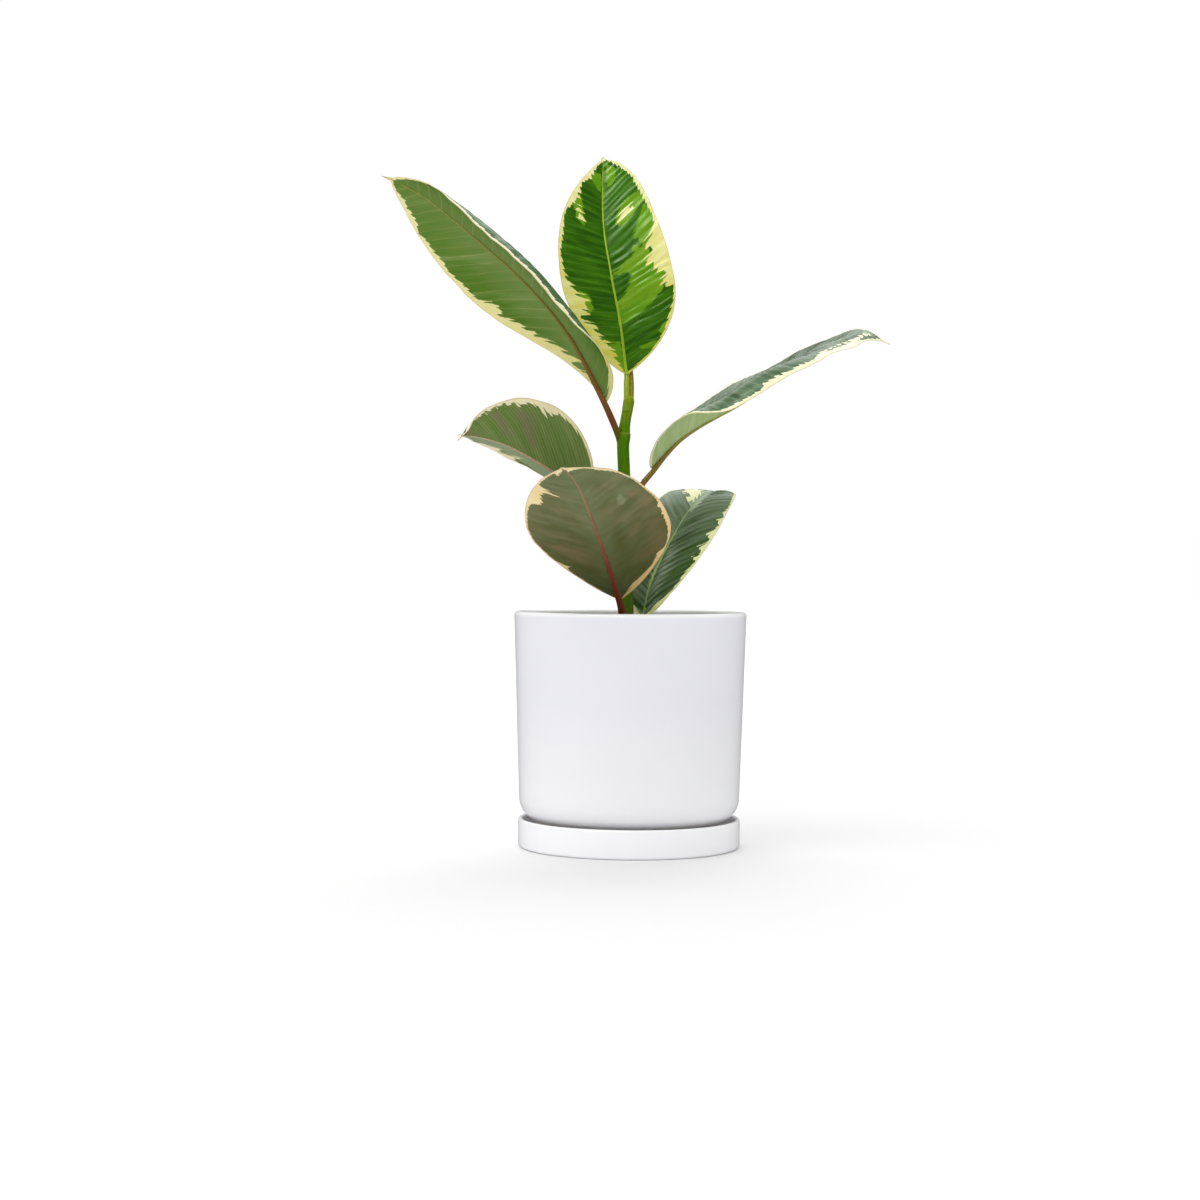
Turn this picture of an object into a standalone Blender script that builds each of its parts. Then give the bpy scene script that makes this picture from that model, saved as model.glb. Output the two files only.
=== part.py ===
"""A variegated rubber plant in a white glazed cylinder pot on its saucer.

Sizes and places are in millimetres and degrees, and become metres where a mesh is made.
The origin is the centre of the saucer's flat underside, +Z is up, and the front is -Y.
"""
import math

import bmesh
import bpy
from mathutils import Vector, noise

MM = 0.001
GAP = 0.3

# The pot is a thrown cylinder that widens a little from its rounded foot to its lip
POT_LIP_RADIUS = 85.0
POT_LIP_HEIGHT = 172.0
POT_WAIST_RADIUS = 80.6
POT_CORNER = 22.0
POT_CORNER_HEIGHT = 36.5
POT_WALL = 7.0
POT_FLOOR = 7.0
POT_FOOT_RADIUS = 57.0
POT_INSIDE_CORNER = 14.0
DRAIN_RADIUS = 8.0

SAUCER_RADIUS = 81.2
SAUCER_HEIGHT = 21.0
SAUCER_WALL = 3.4
SAUCER_FLOOR = 5.0
SAUCER_EDGE = 2.5

SOIL_HEIGHT = 147.0
SOIL_RELIEF = 1.6
SOIL_GRAIN = 11.0
SOIL_RINGS = 7
ROUND_SIDES = 48
SHARP_ANGLE = 40

# The stem stands upright in the soil and leans a little to the left above it
STEM_ROUTE = [(-2.4, 0, 60), (-2.4, 0, 113), (-2.6, 0, 166), (-3.6, 0, 218), (-5.2, 0, 270),
              (-6.0, 0, 299), (-2.2, 0.2, 326)]
STEM_RADII = [5.2, 5.2, 5.1, 4.8, 4.4, 4.1, 3.7]
STEM_NODES = [160, 240, 254, 300]
NODE_SWELLING = 0.7
NODE_REACH = 4.0
STEM_NECK_HEIGHT = 313.0
STEM_NECK = 0.7
STEM_SIDES = 12
STEM_STEPS = 40

BLADE_THICKNESS = 0.9
BLADE_ROWS = 22
BLADE_COLUMNS = 5
PETIOLE_SIDES = 8
PETIOLE_FLARE = 1.25
MIDRIB_ROWS = 14
MIDRIB_START = 0.95
MIDRIB_TAPER = 0.75
MIDRIB_END = 0.9
MIDRIB_GAP = 0.45
DRIP_BREADTH = 0.04

SHEATH_ROUTE = [(-0.4, 1.0, 325), (-0.1, 3.8, 336), (-0.3, 6.7, 346), (-0.6, 10, 356)]
SHEATH_RADII = [1.2, 1.15, 0.95, 0.3]

# A leaf's midrib runs from the petiole to the tip, and face is the way its upper side looks.
# roll turns the blade about its midrib. lift is each half's slope at the midrib, up for a folded
# leaf, and curl is how much further it bends by its margin: all three go from base to tip.
# A half's outline is its breadth, where it is widest, and how full it is towards base and tip.
# drip is the share of the length taken by the narrow point at the blade's tip.
LEAVES = {
    "top": dict(
        midrib=[(-4, 5, 346), (-9, 10, 384), (-16, 17, 421), (-22, 28, 461), (-22.4, 44, 512.5)],
        face=(-0.15, -1, 0.2), roll=[0, 0, 0], drip=0.015,
        left=dict(breadth=42, widest=0.42, base=0.8, tip=0.9, lift=[35, 40, 35],
                  curl=[-10, -10, -10]),
        right=dict(breadth=45.6, widest=0.37, base=0.83, tip=0.45, lift=[0, 0, 0], curl=[0, 0, -15]),
        petiole=[(-3.9, -1.7, 324), (-3.6, 0.6, 331), (-3.8, 4.2, 339)], thick=2.0, colour="#9cb42a"),
    "upper_left": dict(
        midrib=[(-19, -12, 324), (-46, -18, 372), (-77, -26, 408), (-114, -34, 440),
                (-148, -42, 466), (-169, -48, 477), (-179, -52, 480)],
        face=(0.7, 0, 0.7), roll=[55, 55, 55], drip=0.03,
        left=dict(breadth=45, widest=0.45, base=0.7, tip=0.75, lift=[3, -4, -5, 2, -12],
                  curl=[-2, -82, -87, -88, -6]),
        right=dict(breadth=42, widest=0.52, base=1.8, tip=0.8, lift=[0, 0, 0], curl=[0, 0, 0]),
        petiole=[(-5.4, 0, 296), (-8.5, -3.5, 300), (-12, -6.5, 306), (-15.5, -9.5, 314)],
        thick=2.0, colour="#7a3f14"),
    "mid_left": dict(
        midrib=[(-30, -22, 252), (-50, -40, 268), (-71, -57, 281), (-93, -75, 291),
                (-115, -90, 295), (-121, -96, 291)],
        face=(0.3, 0, 1), roll=[50, 50, 45], drip=0.03,
        left=dict(breadth=40.7, widest=0.58, base=0.78, tip=0.3, lift=[25, 20, 10], curl=[0, 0, -20]),
        right=dict(breadth=38, widest=0.62, base=0.87, tip=0.9, lift=[45, 45, 40], curl=[0, 0, 0]),
        petiole=[(-4.2, 0, 237), (-10, -5.5, 239.5), (-17, -12, 243), (-23.5, -17, 247)],
        thick=2.1, colour="#8a5a3c"),
    "right": dict(
        midrib=[(15, -2, 276), (32, -4, 295), (52, -8, 309), (70, -11, 318.5), (97, -14, 336),
                (126, -16, 359), (150, -17, 370), (168, -18, 375), (186, -18, 367)],
        face=(-0.7, 0, 0.7), roll=[-45, -40, -10, 8, 15], drip=0.03,
        left=dict(breadth=40, widest=0.45, base=0.6, tip=0.75, lift=[78, 62, 30, 2, 7],
                  curl=[0, 0, -10, 0, 0]),
        right=dict(breadth=44, widest=0.4, base=0.6, tip=0.75, lift=[0, 8, 55, -5, -13],
                   curl=[-30, -63, -130, -5, -20]),
        petiole=[(-4.8, 0, 251), (0, -1.5, 255.5), (5.5, -2.5, 262), (10.5, -3, 268.5)],
        thick=2.1, colour="#7c6a1c"),
    "front": dict(
        midrib=[(-8, -25, 181), (-18, -50, 210), (-29, -85, 240), (-39, -120, 262), (-48.5, -150, 270.5)],
        face=(0, 0.6, 1), roll=[0, 0, 0], drip=0.012,
        left=dict(breadth=51.5, widest=0.39, base=0.78, tip=0.83, lift=[20, 8, 5], curl=[0, 0, 0]),
        right=dict(breadth=48, widest=0.46, base=0.86, tip=0.95, lift=[15, 2, 8], curl=[0, 0, 0]),
        petiole=[(-2.5, 0, 158.5), (-3.8, -8, 161), (-5.2, -16, 166), (-6.6, -23, 172.5)],
        thick=2.9, colour="#6b2410"),
    "lower_right": dict(
        midrib=[(9, 5, 168), (15, 12, 193), (28, 24, 221), (46, 42, 250), (62, 62, 262),
                (72, 88, 258), (77, 106, 244)],
        face=(-0.3, -0.5, 1), roll=[0, 0, 0], drip=0.03,
        left=dict(breadth=37, widest=0.5, base=0.6, tip=0.7, lift=[10, 15, 15], curl=[-20, -30, -20]),
        right=dict(breadth=28, widest=0.5, base=0.6, tip=0.7, lift=[0, -5, 20], curl=[-60, -60, -20]),
        petiole=[(-2.5, 0, 157), (2.5, 3.5, 158.5), (6, 6.5, 161)], thick=2.2, colour="#8aa860"),
}
BLADE_COLOURS = {"top": "#2f6e10", "upper_left": "#5b8038", "mid_left": "#5e7745",
                 "right": "#9ab07c", "front": "#66694a", "lower_right": "#3f5c4a"}


def linear(code):
    """Linear colour from an sRGB hex value."""
    channels = [int(code[i:i + 2], 16) / 255 for i in (1, 3, 5)]
    return [c / 12.92 if c <= 0.04045 else ((c + 0.055) / 1.055) ** 2.4 for c in channels] + [1]


def material(name, code, roughness):
    """A plain Principled material."""
    made = bpy.data.materials.new(name)
    made.use_nodes = True
    shader = made.node_tree.nodes["Principled BSDF"]
    shader.inputs["Base Color"].default_value = linear(code)
    shader.inputs["Roughness"].default_value = roughness
    return made


def piece(name, points, faces, finish):
    """One closed solid from points in millimetres."""
    mesh = bpy.data.meshes.new(name)
    mesh.from_pydata([Vector(p) * MM for p in points], [], faces)
    form = bmesh.new()
    form.from_mesh(mesh)
    bmesh.ops.remove_doubles(form, verts=form.verts, dist=1e-6)
    bmesh.ops.recalc_face_normals(form, faces=form.faces)
    bmesh.ops.triangulate(form, faces=form.faces)
    form.to_mesh(mesh)
    form.free()
    mesh.materials.append(finish)
    solid = bpy.data.objects.new(name, mesh)
    bpy.context.scene.collection.objects.link(solid)
    mesh.shade_smooth()
    mesh.set_sharp_from_angle(angle=math.radians(SHARP_ANGLE))
    return solid


def cut(solid, cutter):
    """Take the cutter's shape out of the solid."""
    cutter.hide_render = True
    cutter.display_type = "WIRE"
    boolean = solid.modifiers.new("clearance", "BOOLEAN")
    boolean.operation = "DIFFERENCE"
    boolean.object = cutter


def arc(centre, radius, start, end, steps):
    """Points of a round corner in a turned profile."""
    angles = [math.radians(start + (end - start) * k / steps) for k in range(steps + 1)]
    return [(centre[0] + radius * math.cos(a), centre[1] + radius * math.sin(a)) for a in angles]


def turned(name, profile, finish, closed):
    """A profile of radius and height turned about the Z axis."""
    points = []
    for side in range(ROUND_SIDES):
        angle = 2 * math.pi * side / ROUND_SIDES
        points += [(r * math.cos(angle), r * math.sin(angle), z) for r, z in profile]
    count = len(profile)
    faces = []
    for side in range(ROUND_SIDES):
        here = side * count
        there = (side + 1) % ROUND_SIDES * count
        for k in range(count if closed else count - 1):
            after = (k + 1) % count
            faces.append((here + k, there + k, there + after, here + after))
    return piece(name, points, faces, finish)


def saucer():
    """A shallow straight-sided dish with a flat underside and a rounded rim."""
    rim = SAUCER_WALL / 2
    inside = SAUCER_RADIUS - SAUCER_WALL
    profile = [(0, 0)]
    profile += arc((SAUCER_RADIUS - SAUCER_EDGE, SAUCER_EDGE), SAUCER_EDGE, -90, 0, 3)
    profile += arc((SAUCER_RADIUS - rim, SAUCER_HEIGHT - rim), rim, 0, 180, 4)
    profile += arc((inside - SAUCER_EDGE, SAUCER_FLOOR + SAUCER_EDGE), SAUCER_EDGE, 0, -90, 3)
    profile += [(0, SAUCER_FLOOR)]
    turned("saucer", profile, material("glazed stoneware saucer", "#f2f2f7", 0.25), closed=False)


def pot_inside_radius(height):
    """Radius of the pot's inner wall at a height."""
    share = (height - POT_CORNER_HEIGHT) / (POT_LIP_HEIGHT - POT_CORNER_HEIGHT)
    return POT_WAIST_RADIUS + (POT_LIP_RADIUS - POT_WAIST_RADIUS) * share - POT_WALL


def pot_inside(clearance, top):
    """Inside of the pot as a profile, from its floor up to a height, drawn in by a clearance."""
    floor = POT_CORNER_HEIGHT - POT_CORNER + POT_FLOOR
    corner = POT_INSIDE_CORNER
    wall = pot_inside_radius(floor + corner)
    lower = arc((wall - corner, floor + corner), corner - clearance, -90, 0, 4)
    return lower + [(pot_inside_radius(top) - clearance, top)]


def pot():
    """A straight cylinder with a rounded lip, a rounded bottom corner, a low foot and a drain hole."""
    foot = SAUCER_FLOOR + GAP
    under = POT_CORNER_HEIGHT - POT_CORNER
    lip = POT_WALL / 2
    corner = arc((POT_WAIST_RADIUS - POT_CORNER, POT_CORNER_HEIGHT), POT_CORNER, -90, 0, 5)
    inside = pot_inside(0, POT_LIP_HEIGHT - lip)
    profile = [(DRAIN_RADIUS, foot), (POT_FOOT_RADIUS, foot), (POT_FOOT_RADIUS, under)]
    profile += corner
    profile += arc((POT_LIP_RADIUS - lip, POT_LIP_HEIGHT - lip), lip, 0, 180, 6)[:-1]
    profile += list(reversed(inside))
    profile += [(DRAIN_RADIUS, under + POT_FLOOR)]
    turned("pot", profile, material("glazed stoneware pot", "#e8e9ee", 0.22), closed=True)


def soil():
    """Potting mix that fills the pot, crumbly on top, with a plain hole for the stem."""
    wall = pot_inside(GAP, SOIL_HEIGHT)
    edge = wall[-1][0]
    surface = [(edge * k / SOIL_RINGS, SOIL_HEIGHT) for k in range(SOIL_RINGS - 1, -1, -1)]
    profile = [(0, wall[0][1])] + wall + surface
    body = turned("soil", profile, material("potting mix", "#2b2019", 0.95), closed=False)
    for vertex in body.data.vertices:
        place = vertex.co / MM
        inward = 1 - place.xy.length / edge
        if place.z > SOIL_HEIGHT - 1 and inward > 0.01:
            crumb = noise.noise(Vector((place.x, place.y, 0)) / SOIL_GRAIN)
            vertex.co.z += SOIL_RELIEF * (crumb + inward) * MM
    foot = Vector(STEM_ROUTE[0]) - Vector((0, 0, GAP))
    above = Vector((foot.x, foot.y, SOIL_HEIGHT + SOIL_GRAIN))
    radius = STEM_RADII[0] + GAP
    cut(body, tube("stem_hole", [foot, above], [radius, radius], STEM_SIDES, body.data.materials[0]))


def along(values, t):
    """Value at t, from 0 to 1, on a smooth curve through evenly spaced values."""
    span = t * (len(values) - 1)
    i = min(int(span), len(values) - 2)
    f = span - i
    here = values[i]
    following = values[i + 1]
    before = values[i - 1] if i else 2 * here - following
    after = values[i + 2] if i + 2 < len(values) else 2 * following - here
    bend = 2 * before - 5 * here + 4 * following - after
    twist = 3 * here - before - 3 * following + after
    return (2 * here + (following - before) * f + bend * f ** 2 + twist * f ** 3) * 0.5


def even_steps(points, count):
    """The values of t that cut the curve through the points into equal lengths."""
    fine = 40 * count
    reach = [0.0]
    for k in range(fine):
        reach.append(reach[-1] + (along(points, (k + 1) / fine) - along(points, k / fine)).length)
    steps = []
    k = 0
    for row in range(count + 1):
        goal = reach[-1] * row / count
        while k < fine - 1 and reach[k + 1] < goal:
            k += 1
        share = (goal - reach[k]) / (reach[k + 1] - reach[k])
        steps.append(min(1.0, (k + share) / fine))
    return steps


def tube(name, points, radii, sides, finish):
    """A round solid along the points, with flat ends."""
    side = Vector((0, 1, 0))
    rings = []
    for k, point in enumerate(points):
        ahead = points[min(k + 1, len(points) - 1)] - points[max(k - 1, 0)]
        ahead.normalize()
        side = (side - ahead * side.dot(ahead)).normalized()
        other = ahead.cross(side)
        for step in range(sides):
            angle = 2 * math.pi * step / sides
            rings.append(point + (side * math.cos(angle) + other * math.sin(angle)) * radii[k])
    faces = [tuple(range(sides)), tuple(range(len(rings) - sides, len(rings)))]
    for k in range(len(points) - 1):
        for step in range(sides):
            after = (step + 1) % sides
            low = k * sides
            high = low + sides
            faces.append((low + step, low + after, high + after, high + step))
    return piece(name, rings, faces, finish)


def stem_radius(height, t):
    """Radius of the stem, with a ring at each leaf's node and a slimmer neck near the top."""
    radius = along(STEM_RADII, t)
    radius -= STEM_NECK * math.exp(-((height - STEM_NECK_HEIGHT) / (2 * NODE_REACH)) ** 2)
    for node in STEM_NODES:
        radius += NODE_SWELLING * math.exp(-((height - node) / NODE_REACH) ** 2)
    return radius


def stem():
    """The green stem, and a guide a little fatter than it that trims what grows from it."""
    route = [Vector(p) for p in STEM_ROUTE]
    steps = even_steps(route, STEM_STEPS)
    buried = [t for t in steps if along(route, t).z < SOIL_HEIGHT + SOIL_RELIEF]
    steps = [steps[0]] + [buried[-1]] + steps[len(buried):]
    points = [along(route, t) for t in steps]
    radii = [stem_radius(p.z, t) for p, t in zip(points, steps)]
    finish = material("rubber plant stem", "#4f8000", 0.45)
    tube("stem", points, radii, STEM_SIDES, finish)
    points[-1].z += GAP
    return tube("stem_clearance", points, [r + GAP for r in radii], STEM_SIDES, finish)


def half_breadth(half, s, drip):
    """Breadth of one half of a blade at a share of its length, ending in a narrow drip tip."""
    end = 1 - drip
    if s < half["widest"]:
        return half["breadth"] * (1 - (1 - s / half["widest"]) ** 2) ** half["base"]
    rest = max(0.0, (end - s) / (end - half["widest"]))
    body = (1 - (1 - rest) ** 2) ** half["tip"]
    return half["breadth"] * max(body, DRIP_BREADTH * min(1.0, (1 - s) / drip))


def leaf_frames(leaf, rows):
    """For each row of a blade: its share of the length, midrib point, upward and rightward ways."""
    midrib = [Vector(p) for p in leaf["midrib"]]
    face = Vector(leaf["face"])
    frames = []
    for row, t in enumerate(even_steps(midrib, rows)):
        ahead = along(midrib, min(1, t + 0.001)) - along(midrib, max(0, t - 0.001))
        ahead.normalize()
        flat_up = (face - ahead * face.dot(ahead)).normalized()
        flat_right = ahead.cross(flat_up)
        s = row / rows
        roll = math.radians(along(leaf["roll"], s))
        up = flat_up * math.cos(roll) + flat_right * math.sin(roll)
        right = flat_right * math.cos(roll) - flat_up * math.sin(roll)
        frames.append((s, along(midrib, t), up, right))
    return frames


def half_blade(half, side, frame, drip):
    """Points of one row from the midrib to the margin, side is -1 for left and 1 for right."""
    s, point, up, right = frame
    width = half_breadth(half, s, drip) / BLADE_COLUMNS
    points = []
    for column in range(BLADE_COLUMNS):
        q = (column + 0.5) / BLADE_COLUMNS
        slope = math.radians(along(half["lift"], s) + along(half["curl"], s) * q)
        point = point + (right * side * math.cos(slope) + up * math.sin(slope)) * width
        points.append(point)
    return points


def blade(name, leaf):
    """The leaf's blade, a folded and curled sheet with its own thickness."""
    points = []
    for frame in leaf_frames(leaf, BLADE_ROWS):
        left = half_blade(leaf["left"], -1, frame, leaf["drip"])
        right = half_blade(leaf["right"], 1, frame, leaf["drip"])
        points += list(reversed(left)) + [frame[1]] + right
    across = 2 * BLADE_COLUMNS + 1
    faces = []
    for row in range(BLADE_ROWS):
        for column in range(across - 1):
            a = row * across + column
            faces.append((a, a + 1, a + across + 1, a + across))
    finish = material("rubber plant leaf " + name, BLADE_COLOURS[name], 0.4)
    sheet = piece("leaf_" + name, points, faces, finish)
    thickness = sheet.modifiers.new("thickness", "SOLIDIFY")
    thickness.thickness = BLADE_THICKNESS * MM
    thickness.offset = 0


def petiole(name, leaf, clearance):
    """The leaf's stalk, which runs on under the blade as its raised midrib."""
    points = [Vector(p) for p in leaf["petiole"]]
    radii = [leaf["thick"]] * len(points)
    radii[0] *= PETIOLE_FLARE
    for s, point, up, right in leaf_frames(leaf, MIDRIB_ROWS):
        if s > MIDRIB_END:
            break
        radius = leaf["thick"] * (MIDRIB_START - MIDRIB_TAPER * s)
        points.append(point - up * (radius + BLADE_THICKNESS / 2 + MIDRIB_GAP))
        radii.append(radius)
    finish = material("petiole " + name, leaf["colour"], 0.45)
    cut(tube("petiole_" + name, points, radii, PETIOLE_SIDES, finish), clearance)


def main():
    """Build the saucer, the pot, the soil and the plant."""
    for old in list(bpy.data.objects):
        bpy.data.objects.remove(old)
    saucer()
    pot()
    soil()
    clearance = stem()
    sheath = [Vector(p) for p in SHEATH_ROUTE]
    bud = tube("bud_sheath", sheath, SHEATH_RADII, PETIOLE_SIDES, material("bud sheath", "#98a81a", 0.45))
    cut(bud, clearance)
    for name, leaf in LEAVES.items():
        blade(name, leaf)
        petiole(name, leaf, clearance)


main()
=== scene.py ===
"""Looks of a potted variegated rubber plant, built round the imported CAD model.

Sizes in the sections are in millimetres and degrees, and become metres where a mesh is made.
"""

import random
from functools import partial
from math import cos, exp, pi, radians, sin, sqrt

import bpy
import numpy as np
from mathutils import Matrix, Vector, noise


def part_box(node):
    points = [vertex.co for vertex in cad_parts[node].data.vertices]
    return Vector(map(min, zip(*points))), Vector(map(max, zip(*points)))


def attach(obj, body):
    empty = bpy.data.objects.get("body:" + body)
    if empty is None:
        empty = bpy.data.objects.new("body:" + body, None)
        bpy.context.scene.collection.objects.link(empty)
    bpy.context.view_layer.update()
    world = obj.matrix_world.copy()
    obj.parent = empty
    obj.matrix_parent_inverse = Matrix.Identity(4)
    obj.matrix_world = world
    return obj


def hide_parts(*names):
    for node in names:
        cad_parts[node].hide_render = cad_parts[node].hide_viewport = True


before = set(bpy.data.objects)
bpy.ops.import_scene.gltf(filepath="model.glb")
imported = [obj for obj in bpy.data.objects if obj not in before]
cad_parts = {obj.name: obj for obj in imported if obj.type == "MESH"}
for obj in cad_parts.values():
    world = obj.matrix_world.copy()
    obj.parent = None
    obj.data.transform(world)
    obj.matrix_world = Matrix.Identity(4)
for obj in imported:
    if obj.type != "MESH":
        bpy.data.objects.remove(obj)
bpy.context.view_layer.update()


# Saucer: a shallow round dish of stoneware, thrown on a wheel, with a straight wall and a thin
# rounded rim. It is dipped in white gloss glaze and fired, and its flat underside is wiped bare
# so that it doesn't stick to the kiln's shelf.
MM = 0.001
ROUND_SIDES = 160
SAUCER_WALL = 3.4
SAUCER_FLOOR = 5.0
SAUCER_EDGE = 2.5
SAUCER_WHITE = "#fcfbff"
# A lighter white that the glaze drifts to at random, also used for the painted highlight on the lip and the
# painted bounce light low on the pot.
LIGHTER_GLAZE_AND_PAINTED_LIGHT = "#fdfdfe"
# A warmer, darker white by the pot's foot, where the glaze thins and where it is also painted shade in the
# gap between pot and saucer.
THIN_GLAZE_AND_SHADE = "#cfc2b6"
BARE_CLAY = "#d8cdbb"
DARK_CLAY = "#b9ab96"
# In mm: the painted lip highlight grows between these depths below the top, the painted bounce light fades
# out between these heights above the foot, and the thin glaze with its painted shade reaches this far above
# the foot.
LIP_HIGHLIGHT_MM = (3.6, 1.4)
BOUNCE_LIGHT_MM = (24, 90)
THIN_GLAZE_AND_SHADE_MM = 5
GLAZE_DRIFT_MM = 60
GLAZE_RIPPLE_MM = 9
CLAY_GRAIN_MM = 0.8


def linear(code):
    """Linear colour from an sRGB hex value."""
    channels = [int(code[i:i + 2], 16) / 255 for i in (1, 3, 5)]
    return [c / 12.92 if c <= 0.04045 else ((c + 0.055) / 1.055) ** 2.4 for c in channels] + [1]


def add_node(tree, kind, inputs=(), out=0, **settings):
    """A shader node with its settings and links, given back as one of its output sockets.

    Its inputs go by name or number, or as a list in the order of its sockets.
    """
    made = tree.nodes.new("ShaderNode" + kind)
    for name, value in settings.items():
        setattr(made, name, value)
    for name, value in inputs.items() if isinstance(inputs, dict) else enumerate(inputs):
        if isinstance(value, bpy.types.NodeSocket):
            tree.links.new(value, made.inputs[name])
        else:
            made.inputs[name].default_value = linear(value) if isinstance(value, str) else value
    return made.outputs[out]


def new_finish(name, sockets):
    """A Principled material with its even values set on it, and the call that adds a node to it."""
    made = bpy.data.materials.new(name)
    made.use_nodes = True
    shader = made.node_tree.nodes["Principled BSDF"]
    for socket, value in sockets.items():
        shader.inputs[socket].default_value = linear(value) if isinstance(value, str) else value
    return made, partial(add_node, made.node_tree)


def patterned(made, sockets):
    """The material, with its patterns linked to the shader's sockets."""
    shader = made.node_tree.nodes["Principled BSDF"]
    for socket, value in sockets.items():
        made.node_tree.links.new(value, shader.inputs[socket])
    return made


def glaze(name, white, foot_height, lip_height):
    """White gloss glaze: drifting to a lighter white, with a painted highlight on the lip and painted
    bounce light low down, and warmer where it thins by the foot, with painted shade there.
    """
    made, node = new_finish(name, {"IOR": 1.5, "Specular IOR Level": 0.4})
    place = node("TexCoord", out="Object")
    drift = node("TexNoise", {"Vector": place, "Scale": 1000 / GLAZE_DRIFT_MM, "Detail": 1})
    height = node("SeparateXYZ", {"Vector": place}, out="Z")
    # These shares add a painted highlight on the lip and painted bounce light low on the wall to the
    # glaze's random drift, and warm and darken it by the foot, where it thins, with painted shade.
    thick = node("MapRange", [height, *[(lip_height - deep) * MM for deep in LIP_HIGHLIGHT_MM], 0, 0.9])
    bounce_light = node("MapRange", [height, *[(foot_height + up) * MM for up in BOUNCE_LIGHT_MM], 0.5, 0])
    thin_glaze_and_shade = node("MapRange", [height, foot_height * MM, (foot_height + THIN_GLAZE_AND_SHADE_MM) * MM, 0.8, 0])
    even = node("Math", [thick, bounce_light], operation="ADD")
    share = node("Math", [drift, 0.12, even], operation="MULTIPLY_ADD")
    colour = node("Mix", {0: share, 6: white, 7: LIGHTER_GLAZE_AND_PAINTED_LIGHT}, out=2, data_type="RGBA")
    colour = node("Mix", {0: thin_glaze_and_shade, 6: colour, 7: THIN_GLAZE_AND_SHADE}, out=2, data_type="RGBA")
    ripple = node("TexNoise", {"Vector": place, "Scale": 1000 / GLAZE_RIPPLE_MM, "Detail": 1})
    gloss = node("MapRange", [ripple, 0, 1, 0.2, 0.24])
    relief = node("Bump", {"Height": ripple, "Strength": 0.12, "Distance": 0.04 * MM})
    return patterned(made, {"Base Color": colour, "Roughness": gloss, "Normal": relief})


def bare_clay():
    """Fired stoneware with no glaze: buff, dull and slightly sandy to the eye."""
    made, node = new_finish("fired stoneware wiped bare", {"Specular IOR Level": 0.2, "Roughness": 0.85})
    place = node("TexCoord", out="Object")
    grain = node("TexNoise", {"Vector": place, "Scale": 1000 / CLAY_GRAIN_MM, "Detail": 3})
    colour = node("Mix", {0: grain, 6: BARE_CLAY, 7: DARK_CLAY}, out=2, data_type="RGBA")
    relief = node("Bump", {"Height": grain, "Strength": 0.5, "Distance": 0.1 * MM})
    return patterned(made, {"Base Color": colour, "Normal": relief})


def round_corner(centre, radius, start, end, steps):
    """Points of a round corner in a turned profile of radius and height."""
    angles = [radians(start + (end - start) * k / steps) for k in range(steps + 1)]
    return [(centre[0] + radius * cos(a), centre[1] + radius * sin(a)) for a in angles]


def turned(name, profile):
    """A ring of edges drawn along the profile on the wheel, then closed where it is open."""
    width, height = profile[0]
    bpy.ops.mesh.primitive_circle_add(vertices=ROUND_SIDES, radius=width * MM,
                                      location=(0, 0, height * MM))
    piece = bpy.context.object
    piece.name = name
    bpy.ops.object.transform_apply()
    bpy.ops.object.mode_set(mode="EDIT")
    bpy.ops.mesh.select_all(action="SELECT")
    for wide, tall in profile[1:]:
        bpy.ops.mesh.extrude_region_move(TRANSFORM_OT_translate={"value": (0, 0, (tall - height) * MM)})
        bpy.ops.transform.resize(value=(wide / width, wide / width, 1),
                                 center_override=(0, 0, tall * MM))
        width, height = wide, tall
    bpy.ops.mesh.select_all(action="SELECT")
    bpy.ops.mesh.remove_doubles(threshold=0.01 * MM)
    bpy.ops.mesh.fill_holes(sides=0)
    bpy.ops.mesh.select_all(action="SELECT")
    bpy.ops.mesh.normals_make_consistent()
    bpy.ops.object.mode_set(mode="OBJECT")
    bpy.ops.object.shade_smooth_by_angle(angle=radians(35))
    return piece


def glazed(piece, finish, bare_below):
    """The piece in its glaze, with bare clay on the faces that lie below a height."""
    piece.data.materials.append(finish)
    piece.data.materials.append(bare_clay())
    for face in piece.data.polygons:
        if face.center.z < bare_below * MM:
            face.material_index = 1


def seat(piece, slot, *nodes):
    """The piece takes these CAD nodes' place, and rides on the one body. Its slot is not used."""
    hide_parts(*nodes)
    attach(piece, "root")


saucer_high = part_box("saucer")[1]
saucer_radius = saucer_high.x / MM
saucer_height = saucer_high.z / MM
rim = SAUCER_WALL / 2
floor_edge = saucer_radius - SAUCER_WALL - SAUCER_EDGE
profile = round_corner((saucer_radius - SAUCER_EDGE, SAUCER_EDGE), SAUCER_EDGE, -90, 0, 8)
profile += round_corner((saucer_radius - rim, saucer_height - rim), rim, 0, 180, 12)
profile += round_corner((floor_edge, SAUCER_FLOOR + SAUCER_EDGE), SAUCER_EDGE, 0, -90, 8)
saucer = turned("saucer_glazed", profile)
glazed(saucer, glaze("white gloss glaze on the saucer", SAUCER_WHITE, -5, saucer_height), 0.05)
seat(saucer, "saucer_glaze", "saucer")


# Pot: a straight stoneware cylinder thrown on a wheel, with a softly rounded lip, a rounded
# bottom corner, a low foot and a drain hole. It is dipped in the same white glaze, and its foot
# is wiped bare. It stands loose in the saucer.
POT_WALL = 7.0
POT_FLOOR = 3.5
POT_WAIST_RADIUS = 80.6
POT_CORNER = 18.5
POT_LIP_CORNER = 2.3
POT_CORNER_HEIGHT = 36.5
POT_FOOT_RADIUS = 57.0
POT_INSIDE_CORNER = 14.0
DRAIN_RADIUS = 8.0
# The pot wears the same glaze as the saucer; its white is painted greyer than the saucer's, as painted
# shade.
SHADED_POT_WHITE = "#e9e9f0"

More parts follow.
